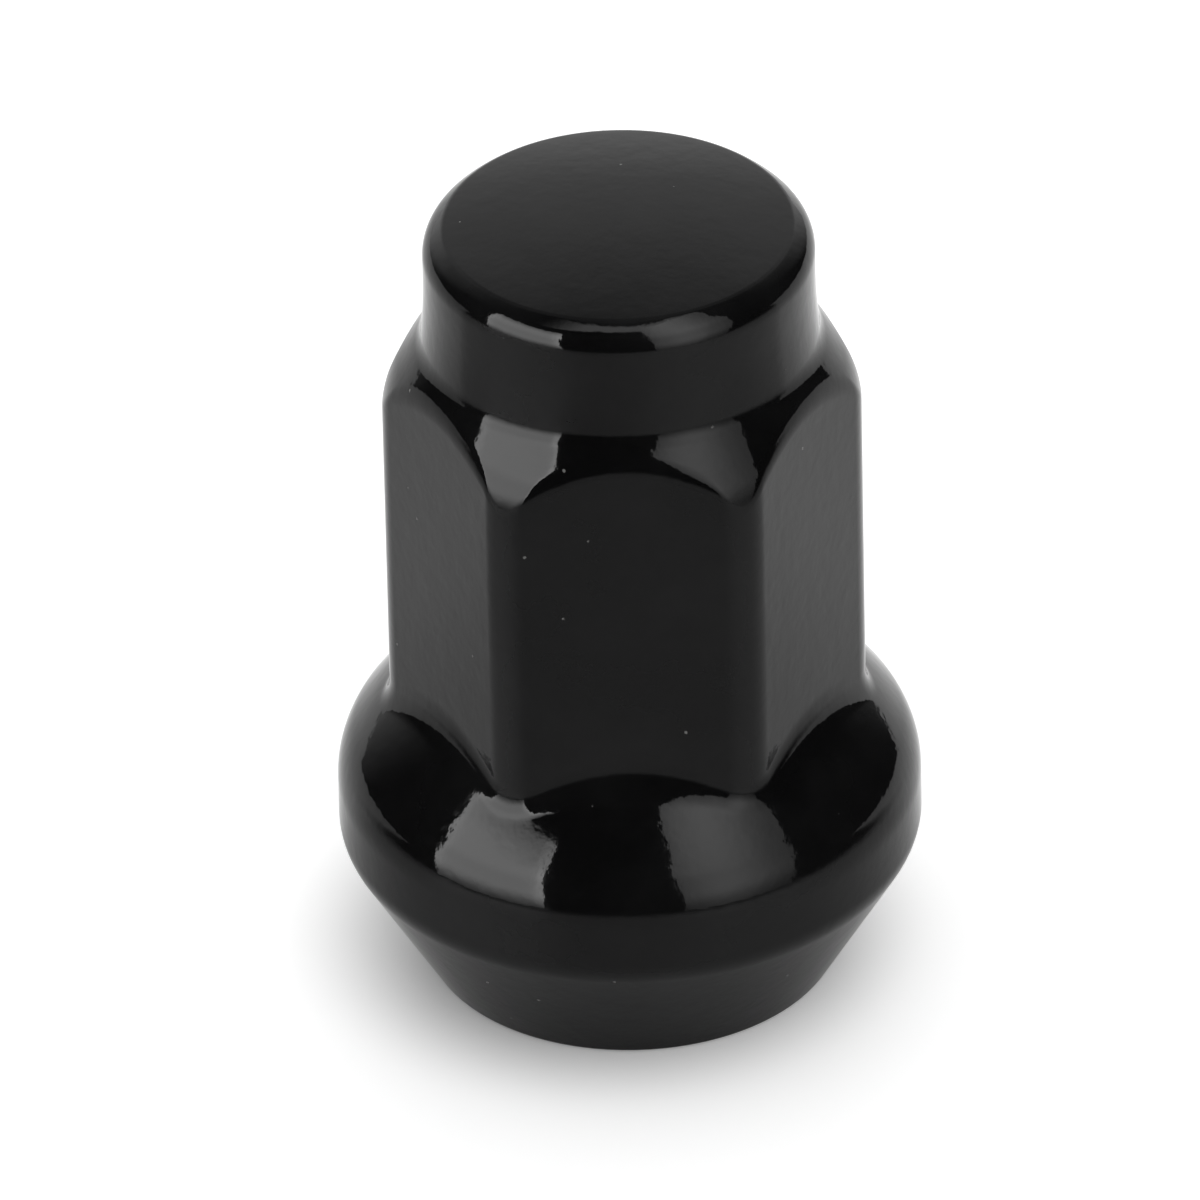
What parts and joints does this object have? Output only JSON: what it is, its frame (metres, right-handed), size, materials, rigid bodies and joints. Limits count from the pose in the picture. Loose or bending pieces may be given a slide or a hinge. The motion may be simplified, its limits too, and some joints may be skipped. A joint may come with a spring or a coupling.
{
  "type": "lug nut",
  "caption": "Closed-end acorn lug nut with a long hexagon, a bulged collar and a conical seat, in gloss black.",
  "frame": {"origin": "centre of the flat base ring, where the thread's axis meets the plane that the nut stands on", "axes": "+Z along the thread's axis, from the seat to the closed cap; -Y is the normal of one hexagon flat"},
  "size_m": [0.026, 0.026, 0.0384],
  "materials": {
    "black_coat": "gloss"
  },
  "bodies": {
    "root": {"nut_body": "black_coat"}
  },
  "joints": []
}
